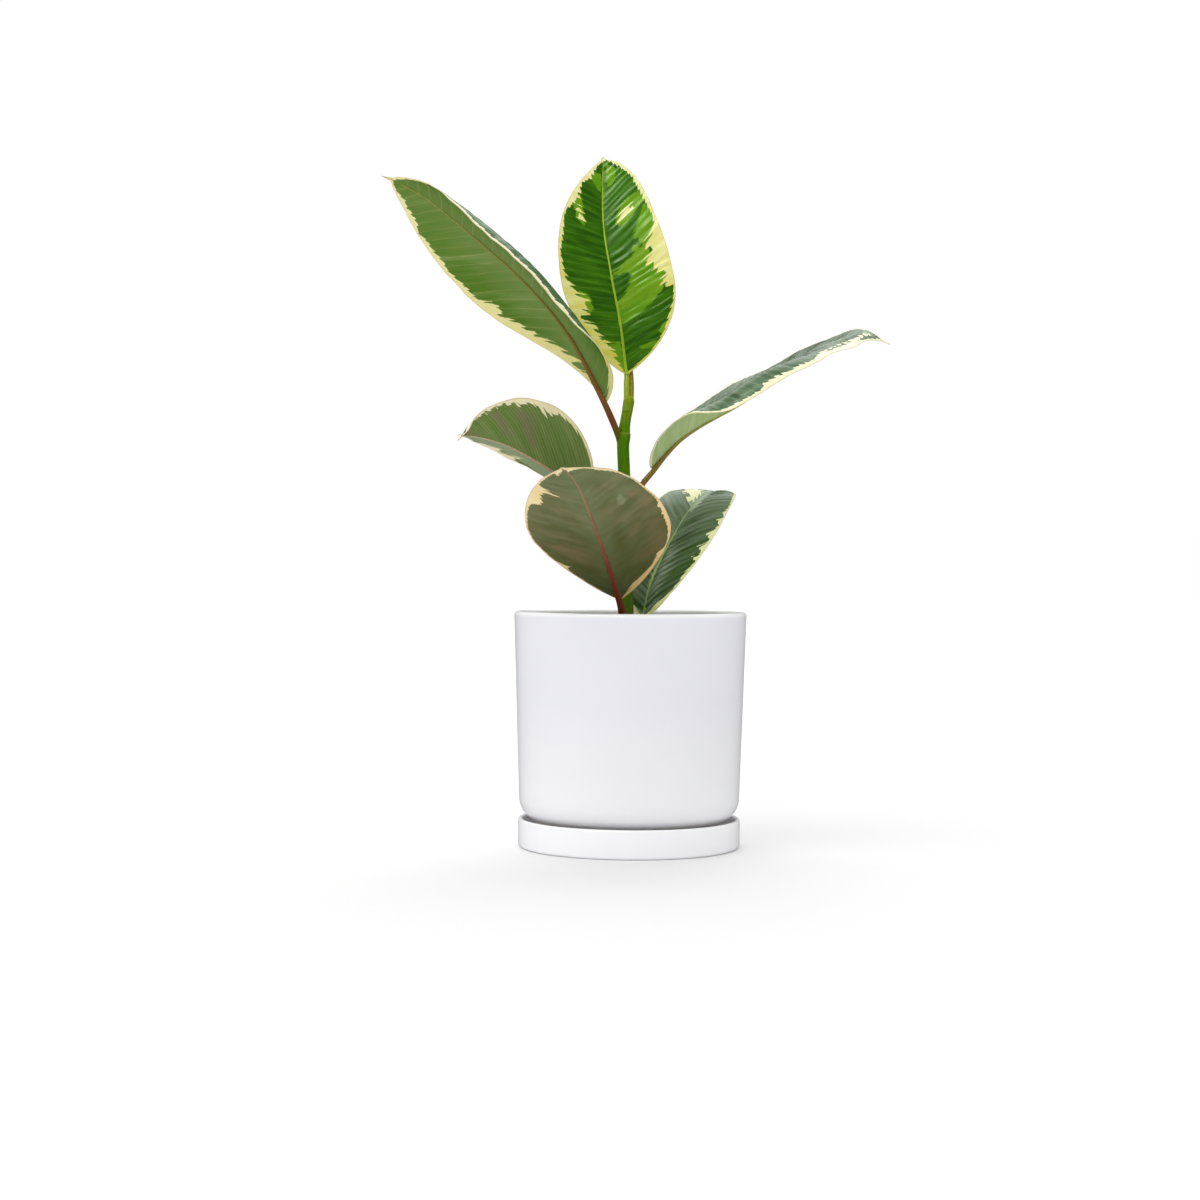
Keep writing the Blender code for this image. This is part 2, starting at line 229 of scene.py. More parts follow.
pot_low, pot_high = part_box("pot")
lip_radius = pot_high.x / MM
lip_height = pot_high.z / MM
foot_height = pot_low.z / MM


def inner_wall(height):
    """Radius of the pot's inside at a height."""
    share = (height - POT_CORNER_HEIGHT) / (lip_height - POT_CORNER_HEIGHT)
    return POT_WAIST_RADIUS + (lip_radius - POT_WAIST_RADIUS) * share - POT_WALL


under = POT_CORNER_HEIGHT - POT_CORNER
inside_floor = under + POT_FLOOR
inside_edge = inner_wall(inside_floor + POT_INSIDE_CORNER) - POT_INSIDE_CORNER
profile = [(DRAIN_RADIUS, foot_height), (POT_FOOT_RADIUS - 0.8, foot_height)]
profile += round_corner((POT_FOOT_RADIUS - 0.8, foot_height + 0.8), 0.8, -90, 0, 4)
profile += [(POT_FOOT_RADIUS, under)]
profile += round_corner((POT_WAIST_RADIUS - POT_CORNER, POT_CORNER_HEIGHT), POT_CORNER, -90, 0, 20)
for middle, turn in ((lip_radius - POT_LIP_CORNER, 0), (lip_radius - POT_WALL + POT_LIP_CORNER, 90)):
    profile += round_corner((middle, lip_height - POT_LIP_CORNER), POT_LIP_CORNER, turn, turn + 90, 10)
profile += round_corner((inside_edge, inside_floor + POT_INSIDE_CORNER), POT_INSIDE_CORNER, 0, -90, 12)
profile += [(DRAIN_RADIUS, inside_floor), (DRAIN_RADIUS, foot_height)]
pot = turned("pot_glazed", profile)
glazed(pot, glaze("white gloss glaze on the pot", SHADED_POT_WHITE, under, lip_height), under + 0.3)
seat(pot, "pot_glaze", "pot")


# Potting mix: peat and bark with white perlite, filled in by hand and pressed down to 25 mm
# below the lip. It is crumbly on top and carries loose bits of all three.
SOIL_HEIGHT = 147.0
SOIL_RINGS = 34
CLODS = ((11, 1.1), (4.5, 0.8), (2, 0.4))
STEM_FOOT = (-2.4, 0, 0)
STEM_CLEAR = 7
CRUMB_COUNT = 520
BARK_COUNT = 90
PERLITE_COUNT = 120
PEAT = "#33251b"
WET_PEAT = "#17100b"
BARK = "#5a3a22"
PERLITE = "#e8e4da"


def crumbly(name, dark, light, grain_mm, rough):
    """Loose mineral or plant matter: dull, broken up into darker and lighter grains."""
    made, node = new_finish(name, {"Roughness": rough, "Specular IOR Level": 0.2})
    place = node("TexCoord", out="Object")
    grain = node("TexNoise", {"Vector": place, "Scale": 1000 / grain_mm, "Detail": 5, "Roughness": 0.7})
    share = node("MapRange", [grain, 0.35, 0.68])
    colour = node("Mix", {0: share, 6: dark, 7: light}, out=2, data_type="RGBA")
    relief = node("Bump", {"Height": grain, "Strength": 0.8, "Distance": grain_mm * 0.3 * MM})
    return patterned(made, {"Base Color": colour, "Normal": relief})


def mix_height(x, y):
    """Height of the mix's crumbly top, mounded a little round the stem."""
    place = Vector((x, y, 0))
    mound = 1 - place.length / soil_edge
    clods = sum(noise.noise(place / wide) * tall for wide, tall in CLODS)
    return SOIL_HEIGHT + 0.6 + clods + 1.2 * mound


soil_edge = inner_wall(SOIL_HEIGHT) - 0.3
soil_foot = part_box("soil")[0].z / MM
profile = [(2, soil_foot), (inside_edge, soil_foot)]
profile += round_corner((inside_edge, soil_foot + POT_INSIDE_CORNER), POT_INSIDE_CORNER - 0.3, -90, 0, 4)
profile += [(soil_edge * (1 - 0.97 * (k / SOIL_RINGS)), SOIL_HEIGHT) for k in range(SOIL_RINGS + 1)]
soil = turned("potting_mix_crumbly", profile)
for vertex in soil.data.vertices:
    if vertex.co.z > (SOIL_HEIGHT - 0.01) * MM:
        vertex.co.z = mix_height(vertex.co.x / MM, vertex.co.y / MM) * MM
soil.data.materials.append(crumbly("damp peat potting mix", WET_PEAT, PEAT, 3, 0.95))

random.seed(4)
scatter = []
for kind, count, colours, small, large, flat in (
        ("peat_crumb", CRUMB_COUNT, ("damp peat crumbs", WET_PEAT, "#4a3526"), 0.8, 2.4, 0.75),
        ("bark_chip", BARK_COUNT, ("pine bark chips", "#3c2414", BARK), 1.6, 4.2, 0.3),
        ("perlite_bead", PERLITE_COUNT, ("expanded perlite", "#b9b4a8", PERLITE), 0.7, 1.7, 0.75)):
    bpy.ops.mesh.primitive_ico_sphere_add(subdivisions=1, radius=MM)
    seed_bit = bpy.context.object
    finish = crumbly(*colours, 1.5, 0.9)
    for _ in range(count):
        radius = soil_edge * 0.97 * sqrt(random.random())
        turn = random.uniform(0, 2 * pi)
        spot = Vector((radius * cos(turn), radius * sin(turn), 0))
        if (spot - Vector(STEM_FOOT)).length < STEM_CLEAR:
            continue
        size = random.uniform(small, large)
        spot.z = mix_height(spot.x, spot.y) + size * random.uniform(-0.1, 0.35)
        shape = Matrix.Diagonal((size, size * random.uniform(0.5, 0.95), size * flat)).to_4x4()
        tumble = Matrix.Rotation(random.uniform(0, 6.3), 4, "Z")
        tilt = Matrix.Rotation(random.uniform(-0.5, 0.5), 4, "X")
        mesh = seed_bit.data.copy()
        mesh.transform(Matrix.Translation(spot * MM) @ tumble @ tilt @ shape)
        for vertex in mesh.vertices:
            vertex.co += Vector([random.uniform(-0.22, 0.22) * size * MM for _ in range(3)])
        mesh.materials.append(finish)
        bit = bpy.data.objects.new(kind, mesh)
        bpy.context.scene.collection.objects.link(bit)
        scatter.append(bit)
    bpy.data.objects.remove(seed_bit)
bpy.ops.object.select_all(action="DESELECT")
for bit in scatter:
    bit.select_set(True)
soil.select_set(True)
bpy.context.view_layer.objects.active = soil
bpy.ops.object.join()
seat(soil, "potting_mix", "soil")


# Stem: one upright green shoot as thick as a finger, grown straight out of the mix. It is a
# living stem with smooth waxy skin, ringed by a pale scar where each leaf's sheath fell, and
# browner and corky where it is oldest, by the mix.
STEM_ROUTE = [(-2.4, 0, 60), (-2.4, 0, 113), (-2.6, 0, 166), (-3.6, 0, 218), (-5.2, 0, 270),
              (-6.0, 0, 299), (-2.2, 0.2, 326)]
STEM_RADII = [5.2, 5.2, 5.1, 4.8, 4.5, 4.4, 4.1]
STEM_NODES = [160, 240, 254, 300]
NODE_SWELLING = 0.7
NODE_REACH = 4.0
SCAR_ABOVE = 2.2
STEM_NECK_HEIGHT = 313.0
STEM_NECK = 0.45
STEM_ROWS = 300
STEM_SIDES = 28
STEM_DOME = ((1.2, 0.94), (2.4, 0.84), (3.4, 0.66), (4.0, 0.4), (4.2, 0.0))


def along(values, t):
    """Value at t, from 0 to 1, on a smooth curve through evenly spaced values."""
    span = t * (len(values) - 1)
    i = min(int(span), len(values) - 2)
    f = span - i
    here = values[i]
    following = values[i + 1]
    before = values[i - 1] if i else 2 * here - following
    after = values[i + 2] if i + 2 < len(values) else 2 * following - here
    bend = 2 * before - 5 * here + 4 * following - after
    twist = 3 * here - before - 3 * following + after
    return (2 * here + (following - before) * f + bend * f ** 2 + twist * f ** 3) * 0.5


def even_steps(points, count):
    """The values of t that cut the curve through the points into equal lengths."""
    fine = max(400, 6 * count)
    places = [along(points, k / fine) for k in range(fine + 1)]
    reach = [0.0]
    for k in range(fine):
        reach.append(reach[-1] + (places[k + 1] - places[k]).length)
    goals = [reach[-1] * row / count for row in range(count + 1)]
    return list(np.interp(goals, reach, [k / fine for k in range(fine + 1)]))


def grown_sheet(name, columns, rows, points):
    """A grid of quads laid on the points, given in millimetres row by row."""
    bpy.ops.mesh.primitive_grid_add(x_subdivisions=columns, y_subdivisions=rows, size=1)
    sheet = bpy.context.object
    sheet.name = name
    flat = np.array([tuple(p) for p in points], np.float32) * MM
    sheet.data.vertices.foreach_set("co", flat.ravel())
    return sheet


def store(piece, title, kind, key, values):
    """Keeps values at the piece's points, for its finish to read."""
    attribute = piece.data.attributes.new(title, kind, "POINT")
    attribute.data.foreach_set(key, np.asarray(values, np.float32).ravel())


def close_up(sheet):
    """Merges the doubles where a sheet meets itself or ends in a point."""
    bpy.context.view_layer.objects.active = sheet
    bpy.ops.object.mode_set(mode="EDIT")
    bpy.ops.mesh.select_all(action="SELECT")
    bpy.ops.mesh.remove_doubles(threshold=0.004 * MM)
    bpy.ops.object.mode_set(mode="OBJECT")
    sheet.data.shade_smooth()


def grown_tube(name, points, radii, sides):
    """A round living stalk along the points, closed to a point at both ends."""
    side = Vector((0, 1, 0))
    skin = []
    for k, point in enumerate(points):
        ahead = points[min(k + 1, len(points) - 1)] - points[max(k - 1, 0)]
        ahead.normalize()
        side = (side - ahead * side.dot(ahead)).normalized()
        other = ahead.cross(side)
        for step in range(sides + 1):
            angle = 2 * pi * (step % sides) / sides
            skin.append(point + (side * cos(angle) + other * sin(angle)) * radii[k])
    tube = grown_sheet(name, sides, len(points) - 1, skin)
    close_up(tube)
    return tube


def stem_radius(height, t):
    """Radius of the stem, with a swelling at each node and a slimmer neck near the top."""
    radius = along(STEM_RADII, t)
    radius -= STEM_NECK * exp(-((height - STEM_NECK_HEIGHT) / (2 * NODE_REACH)) ** 2)
    for node_height in STEM_NODES:
        away = height - node_height
        radius += NODE_SWELLING * exp(-(away / NODE_REACH) ** 2)
        radius += 0.25 * exp(-((away - SCAR_ABOVE) / 0.5) ** 2)
        radius -= 0.2 * exp(-((away - SCAR_ABOVE - 1.1) / 0.5) ** 2)
    return radius


def stem_skin():
    """Green waxy stem skin: fine lengthwise streaks, pale leaf scars and corky dots low down."""
    made, node = new_finish("living rubber plant stem skin", {
        "IOR": 1.45, "Specular IOR Level": 0.4, "Specular Tint": "#b8d070"})
    place = node("TexCoord", out="Object")
    height = node("SeparateXYZ", {"Vector": place}, out="Z")
    streaks = node("Mapping", {"Vector": place, "Scale": (700, 700, 45)})
    streak = node("TexNoise", {"Vector": streaks, "Scale": 1, "Detail": 3})
    rise = node("MapRange", [height, 0.14, 0.33])
    colour = node("ValToRGB", {"Fac": rise})
    spots = colour.node.color_ramp.elements
    spots[0].color = linear("#5d5230")
    spots[1].color = linear("#98a81a")
    for position, code in ((0.1, "#53601d"), (0.3, "#4c7a00"), (0.8, "#528600"), (0.88, "#62920a"),
                           (0.95, "#8ea31a")):
        spots.new(position).color = linear(code)
    shaded = node("MapRange", [streak, 0.3, 0.75, 0, 0.6])
    layers = [(shaded, "#2f5506")]
    for node_height in STEM_NODES:
        away = node("Math", [height, (node_height + SCAR_ABOVE) * MM], operation="SUBTRACT")
        near = node("Math", [away], operation="ABSOLUTE")
        scar = node("MapRange", [near, 0.4 * MM, 1.1 * MM, 0.65, 0])
        layers.append((scar, "#7f9a2c"))
    cork = node("TexVoronoi", {"Vector": place, "Scale": 260})
    low = node("MapRange", [height, 0.15, 0.24, 0.3, 0.06])
    dots = node("Math", [cork, low], operation="LESS_THAN")
    faint = node("Math", [dots, 0.5], operation="MULTIPLY")
    for share, tone in layers + [(faint, "#8b7a4a")]:
        colour = node("Mix", {0: share, 6: colour, 7: tone}, out=2, data_type="RGBA")
    gloss = node("MapRange", [streak, 0, 1, 0.35, 0.55])
    relief = node("Bump", {"Height": streak, "Strength": 0.35, "Distance": 0.25 * MM})
    return patterned(made, {"Base Color": colour, "Roughness": gloss, "Normal": relief})


route = [Vector(p) for p in STEM_ROUTE]
steps = [t for t in even_steps(route, STEM_ROWS) if along(route, t).z > SOIL_HEIGHT - 6]
stem_points = [along(route, t) for t in steps]
stem_radii = [stem_radius(p.z, t) for p, t in zip(stem_points, steps)]
stem_radii[0] = 0.0
top = stem_points[-1]
for rise, share in STEM_DOME:
    stem_points.append(top + Vector((0, 0, rise)))
    stem_radii.append(along(STEM_RADII, 1) * share)
stem = grown_tube("stem_living", stem_points, stem_radii, STEM_SIDES)
stem.data.materials.append(stem_skin())
seat(stem, "stem_skin", "stem")


# Leaves: each is a stiff leathery blade with a petiole that runs on below it as the raised
# midrib. Side veins leave the midrib close together, green cells die out towards the margin in
# jagged steps along them, and the waxy upper side shines while the underside is satin.
BLADE_THICKNESS = 0.9
BLADE_COLUMNS = 28
ROW_MM = 0.85
DRIP_BREADTH = 0.04
PETIOLE_SIDES = 20
PETIOLE_FLARE = 1.4
PETIOLE_ROWS = 150
KEEL_KNOTS = 14
KEEL_END_RADIUS = 0.3
GROOVE_DEPTH = 0.35
GROOVE_MM = 1.4
QUILT = 0.5
MARGIN_WAVE = 0.9
LEAST_TOOTH = 0.5
DEEPEST_TOOTH = 2.4
PATCH_SPREAD = 0.5
PLAIN_LEAF = dict(roll=[0, 0, 0], midrib_sheen=0, deep=0.1, bleach=0, mottle=0)
PLAIN_HALF = dict(curl=[0, 0, 0], ripple=0.12, rise=[0.6, 0.6, 0.6])
TONES = "dark mid pale cream light vein midrib edge warm".split()

# A leaf's midrib runs from the petiole to the tip, face is the way its upper side looks, and roll
# turns the blade about its midrib. A half's form is its breadth, where it is widest, and how full it
# is towards base and tip. lift is its slope at the midrib, curl how much further it bends by its
# margin, and rise how steeply its veins lean forward, all from base to tip. ripple is how far it
# swells between them. cream is where its green ends and patches are outlines of other tones, in
# percent of the length and mm from the midrib, with the left negative in patches. margin is the
# least breadth of cream, teeth and tooth_mm are the depth and breadth of its jags, lines is how
# clear the veins are and how strong the painted shade between them is, and streak is a streak's
# breadth and length. rib_mm is half the midrib's breadth, and keel how much of it stays below the
# blade, and up to where. midrib_sheen is how far a painted sheen in a paler tone reaches from the
# midrib, deep how far a dark tone reaches from the base, bleach is how pale the tip is and mottle
# how warm the whole. upper and under list TONES, and stalk its own from foot to tip.
LEAVES = {}
LEAVES["top"] = dict(
    midrib=[(-4, 5, 346), (-9, 10, 384), (-16, 17, 421), (-22, 28, 461), (-22.4, 44, 512.5)],
    petiole=[(-4, -1.9, 317), (-3.9, -1.5, 323), (-3.7, 0.9, 331), (-3.8, 4.2, 339)],
    thick=2.2, keel=(1, 0.93), face=(-0.15, -1, 0.2), drip=0.015, seed=3, vein_mm=5.5, rib_mm=1.6,
    tooth_mm=5, teeth=0.9, lines=0.16, streak=(4, 30), sheen="#d4e6b8",
    left=dict(
        form=(42, 0.42, 0.8, 0.9), lift=[35, 40, 35], curl=[-10, -10, -10], ripple=0.16,
        rise=[0.1, 0.1, 0.2, 0.3, 0.4], margin=1.5,
        cream=[(4, 5), (10, 9), (13, 12), (15, 16), (18, 20), (21, 21), (25, 31), (27, 24), (29, 28),
            (33, 24), (36, 31), (40, 35), (45, 38), (53, 39), (60, 35), (65, 33), (71, 31), (73, 27),
            (78, 20), (85, 17), (86.5, 14), (88, 10), (92, 7), (96, 3)]),
    right=dict(
        form=(45.6, 0.37, 0.83, 0.45), lift=[0, 0, 0], curl=[0, 0, -15], ripple=0.3,
        rise=[0.43, 0.38, 0.4, 0.9, 1.1], margin=1.5,
        cream=[(5, 15), (10, 25), (15, 31), (20, 34.5), (25, 39), (29, 44), (33, 44), (35, 35), (38, 39),
            (39.5, 41), (42, 33), (44.5, 34), (47, 27), (49, 29), (51, 33), (53, 29), (55, 30), (58, 34),
            (60, 35.5), (65, 38), (70, 37), (75, 34), (80, 30), (85, 26), (90, 22), (93, 17), (96, 9),
            (98, 3)]),
    patches=[
        ("pale", [(76, 31), (72, 38), (65, 39), (56, 33), (50, 31), (46, 34), (40, 41), (34, 36), (31, 31),
            (29, 27), (27, 20), (24.5, 14), (23.5, 9), (22, 4), (22, 0), (45, 0), (45.5, 5), (49, 13),
            (50, 17), (53, 20), (60, 22), (65, 25), (70, 28)]),
        ("green", [(43.5, 2), (43, 14), (40, 13), (37.5, 10), (34.5, 7), (32, 1), (40, 0)]),
        ("green", [(58.5, 21), (56, 26), (54.5, 25), (56, 20)]),
        ("pale", [(96, 3), (94, 9), (90, 9), (86, 7), (85.5, 4), (90, 3)]),
        ("pale", [(85, 33), (82, 25), (79, 18), (74, 12.5), (68, 9.5), (65.5, 11), (67, 16), (71, 22),
            (75, 26.5), (79, 32)]),
        ("cream", [(77, 22.5), (74.5, 17.5), (71, 13.5), (68.5, 12), (68.5, 14.5), (71, 18), (74, 21)]),
        ("pale", [(20, 35), (19, 31), (16, 28), (15.5, 31)]),
        ("pale", [(12.5, 26), (11, 12), (10, 14), (11, 26)]),
        ("pale", [(91, -2), (91, -8), (87, -9), (83, -2), (87, -1)]),
        ("pale", [(80, -19), (74, -16.5), (66, -16), (68, -21), (76, -25)]),
        ("cream", [(74, -19.5), (70, -17.5), (67, -17.5), (70, -20), (73, -21.5)]),
        ("pale", [(38, -30), (34, -22), (28, -21), (27, -24), (34, -30)]),
        ("pale", [(14, -2), (13, -12), (9, -14), (3, -5), (2, -1)])],
    upper="#235400 #3f7a00 #729f14 #d5ce48 #f3eeb4 #569400 #a2c42c #cdb87a #5d6a1c",
    under="#4b6f32 #5d8242 #93ab62 #e2d9a0 #efe8bf #7d9a5c #a9b84c #c9ad74 #7d6a3c",
    stalk="#7c9a10 #99a81c #9cb424 #a9bc3c")
LEAVES["upper_left"] = dict(
    midrib=[(-19, -12, 324), (-46, -18, 372), (-77, -26, 408), (-114, -34, 440), (-148, -42, 466),
            (-169, -48, 477), (-179, -52, 480)],
    petiole=[(-7.6, 0.6, 296), (-9.6, -2.6, 300), (-12, -6.5, 306), (-15.5, -9.5, 314)],
    thick=2.35, keel=(0.72, 0.93), face=(0.7, 0, 0.7), roll=[55, 55, 55], drip=0.03, seed=11, vein_mm=9.5,
    rib_mm=1.7, tooth_mm=7, teeth=0.7, lines=0.28, streak=(5, 30), sheen="#e8f2c8", midrib_sheen=26, bleach=0.2,
    left=dict(
        form=(45, 0.45, 0.7, 0.75), lift=[3, -4, -5, 2, -12], curl=[-2, -82, -87, -88, -6], ripple=0.1,
        margin=2.2,
        cream=[(6, 12), (10, 19), (14, 26), (20, 33), (25, 37), (30, 39), (33, 38), (36, 41), (45, 42),
            (55, 42), (65, 39), (75, 34), (85, 26), (90, 18), (95, 9)]),
    right=dict(
        form=(42, 0.52, 1.8, 0.8), lift=[0, 0, 0], rise=[0.8, 0.8, 0.8], margin=1.5,
        cream=[(5, 1.5), (12, 2), (15, 3), (18, 7), (20, 10), (23, 13), (25, 16), (28, 19), (30, 24),
            (31, 22), (33, 26), (37, 28), (40, 31), (42, 33), (45, 31), (48, 33), (50, 36), (52, 38),
            (55, 37.5), (60, 37), (65, 36), (70, 32), (73, 31), (75, 29), (80, 27), (82, 22), (85, 18),
            (88, 15), (90, 11), (93, 8)]),
    patches=[
        ("green", [(15.5, 9), (14.5, 5), (12, 2), (12, 4), (13.5, 7)]),
        ("green", [(43, 34), (41, 27), (40, 27), (41, 33)]),
        ("warm", [(95, -1), (90, -14), (50, -16), (15, -8), (10, -1)])],
    upper="#44603f #587553 #8fae82 #f7f2c8 #fdfad6 #6f8f66 #a9b46a #c9b48a #5f6a40",
    under="#467414 #607e2a #93a568 #eae196 #eee6ae #98ac6a #7c6a22 #c8b06c #4c6c14",
    stalk="#5f6a14 #80441a #8c7628 #9a9a48")
LEAVES["mid_left"] = dict(
    midrib=[(-30, -22, 252), (-50, -40, 268), (-71, -57, 281), (-93, -75, 291), (-115, -90, 295),
            (-121, -96, 291)],
    petiole=[(-4.2, 0, 237), (-10, -5.5, 239.5), (-17, -12, 243), (-23.5, -17, 247)],
    thick=2.1, keel=(0.6, 0.93), face=(0.3, 0, 1), roll=[50, 50, 45], drip=0.03, seed=23, vein_mm=3.4,
    rib_mm=1.4, tooth_mm=7, teeth=0.85, lines=0.45, streak=(2.4, 30), sheen="#ffffff", mottle=0.2,
    left=dict(
        form=(40.7, 0.58, 0.78, 0.3), lift=[25, 20, 10], curl=[0, 0, -20], rise=[1.3, 1.5, 1.5], margin=1.8,
        cream=[(10, 15), (20, 24), (30, 31), (40, 35.5), (50, 37), (54, 33), (60, 33.5), (65, 36), (70, 36),
            (74, 32), (77, 34), (80, 30), (82, 33), (85, 28), (86.5, 30.5), (88.5, 21), (90, 24.5),
            (92, 17), (93.5, 18.5), (95, 10), (96.5, 10)]),
    right=dict(
        form=(38, 0.62, 0.87, 0.9), lift=[45, 45, 40], margin=1.8,
        cream=[(10, 12), (20, 20), (30, 28), (36, 31.5), (40, 31), (44, 29), (46, 20), (46.5, 14), (48, 16),
            (50, 24), (54, 30), (56, 29), (57.5, 22), (59, 18), (62, 25), (70, 33), (80, 31), (90, 20)]),
    patches=[
        ("warm", [(95, -5), (95, 0), (80, 0), (86, -5)]),
        ("warm", [(74, -27), (64, -29), (50, -8), (54, -6), (68, -19)]),
        ("warm", [(86, -22), (82, -25), (68, -8), (72, -6)]),
        # This pale patch over most of the right half is partly a paler underside and partly a painted
        # reflection of the bright room, which this half faces at a grazing angle.
        ("pale", [(90, 1), (90, 26), (70, 30), (55, 22), (30, 24), (10, 8), (10, 1)]),
        ("warm", [(75, 18), (72, 34), (60, 34), (62, 18)])],
    upper="#2f5a26 #41702f #86a266 #fbecba #fdf6d6 #5a8046 #b0a068 #c9a878 #6f6a3a",
    under="#5d7d33 #768f4a #98a68c #f5e7b2 #fbf1cc #9aad62 #b0886a #cfa070 #80745c",
    stalk="#6a6a2c #8a5a3c #b9907a #d8bc94")
LEAVES["right"] = dict(
    midrib=[(15, -2, 276), (32, -4, 295), (52, -8, 309), (70, -11, 318.5), (97, -14, 336), (126, -16, 359),
            (150, -17, 370), (168, -18, 375), (186, -18, 367)],
    petiole=[(-4.8, 0, 251), (0, -1.5, 255.5), (5.5, -2.5, 262), (10.5, -3, 268.5)],
    thick=2.1, keel=(0.55, 0.93), face=(-0.7, 0, 0.7), roll=[-45, -40, -10, 8, 15], drip=0.03, seed=31,
    vein_mm=6.5, rib_mm=1.4, tooth_mm=5, teeth=0.7, lines=0.25, streak=(6, 40), sheen="#949c8e",
    left=dict(
        form=(40, 0.45, 0.6, 0.75), lift=[78, 71, 62, 54, 34, 14, 2, 2, 7], curl=[0, 0, -10, 0, 0],
        ripple=0.05, margin=1.6,
        cream=[(10, 23), (20, 31), (30, 36), (45, 38), (60, 37), (72, 31), (80, 26), (87, 18), (93, 10)]),
    right=dict(
        form=(44, 0.4, 0.6, 0.75), lift=[0, 8, 55, -5, -13],
        curl=[-30, -44, -63, -126, -138, -78, -5, -4, -20], ripple=0.08, rise=[0.5, 0.5, 0.5], margin=1.8,
        cream=[(5, 15), (10, 23), (20, 33), (30, 41), (40, 41.5), (48, 41), (50, 38), (55, 37), (60, 37),
            (63, 33), (66, 33), (69, 30), (70.5, 24), (72, 21), (76, 15), (80, 10), (86, 8), (91, 1),
            (93, 2), (90, 6), (87, 14), (92, 12), (96, 5)]),
    patches=[
        ("green", [(84, 11), (80, 15), (75.5, 23), (74.5, 21), (80, 12)]),
        ("pale", [(93, -12), (93, -2), (90, 2), (90, -14)])],
    upper="#405a3a #70886a #9aaf88 #f3efc6 #fbf8d4 #7d9a80 #a9b890 #c9b88a #6f7a4a",
    # These under tones are far paler than the other leaves': the underside's own paler green, lightened
    # further as painted light where this leaf's underside faces down.
    under="#a4ba7c #b8cc92 #cbdab0 #f1ecc8 #fbf8d4 #8aa66c #9a8c3c #d2c08a #8a8a50",
    stalk="#6f7a1c #80601c #a8a050 #c2c690")
LEAVES["front"] = dict(
    midrib=[(-8, -25, 181), (-18, -50, 210), (-29, -85, 240), (-39, -120, 262), (-48.5, -150, 270.5)],
    petiole=[(-2.5, 0, 158.5), (-3.8, -8, 161), (-5.2, -16, 166), (-6.6, -23, 172.5)],
    thick=2.6, keel=(0.85, 0.88), face=(0, 0.6, 1), drip=0.012, seed=41, vein_mm=7, rib_mm=2.6,
    tooth_mm=4.5, teeth=0.55, lines=0.1, streak=(9, 17), sheen="#ffffff", midrib_sheen=12, deep=95, bleach=0.45,
    mottle=0.35,
    left=dict(
        form=(51.5, 0.39, 0.78, 0.83), lift=[20, 8, 5], rise=[0.5, 0.6, 0.8], margin=1,
        cream=[(4, 8), (7, 13), (10, 22), (13, 29), (16, 33), (19, 36), (20.5, 40), (22, 43), (25, 45),
            (30, 47.5), (35, 48.5), (40, 48.5), (45, 47.5), (48, 48.5), (50, 46), (53, 47.5), (60, 45.5),
            (65, 42.5), (70, 39), (75, 35), (80, 29), (82, 26.5), (84, 22), (86, 19), (90, 15.5), (93, 11),
            (94, 6), (93, 2), (95, 1)]),
    right=dict(
        form=(48, 0.46, 0.86, 0.95), lift=[15, 2, 8], rise=[0.5, 0.6, 0.8], margin=1,
        cream=[(5, 14), (10, 24), (15, 30.5), (20, 31), (20.5, 27.5), (21.5, 32), (25, 38.5), (30, 43.5),
            (40, 47), (50, 47), (55, 45), (60, 43), (65, 39.5), (66.5, 36), (65, 31), (68, 29.5), (73, 28),
            (71, 22), (68.5, 17), (70, 17.5), (73, 22), (77, 24.5), (81, 26), (85, 20.5), (90, 13.5),
            (93, 9), (88, 9), (92, 5.5), (96, 1.5)]),
    patches=[
        ("warm", [(72, 28), (71, 21), (66, 18), (58, 17), (58, 22), (64, 30)]),
        ("warm", [(50, -43), (53, -46), (60, -45), (65, -41), (70, -34), (66, -27), (60, -32), (52, -37)]),
        ("warm", [(20, -38), (25, -44), (35, -47), (43, -46), (42, -36), (30, -31), (24, -31), (20, -22),
            (14, -18), (14, -26)]),
        ("warm", [(45, -28), (38, -19), (33, -22), (40, -32)]),
        ("warm", [(30, 8), (40, 24), (34, 38), (24, 30), (22, 15)]),
        ("pale", [(65, -24.5), (62, -22), (57, -21), (57, -24), (60, -27)])],
    upper="#24521c #356628 #86a266 #efdcae #f6ecc8 #4a7a3a #b08a4a #c9a070 #5f5a2c",
    under="#525c2e #747c58 #84906a #f0cb88 #f6e6b4 #84825e #a07c66 #e0a868 #8a7654",
    stalk="#4e4a14 #74260c #86422a #988a60")
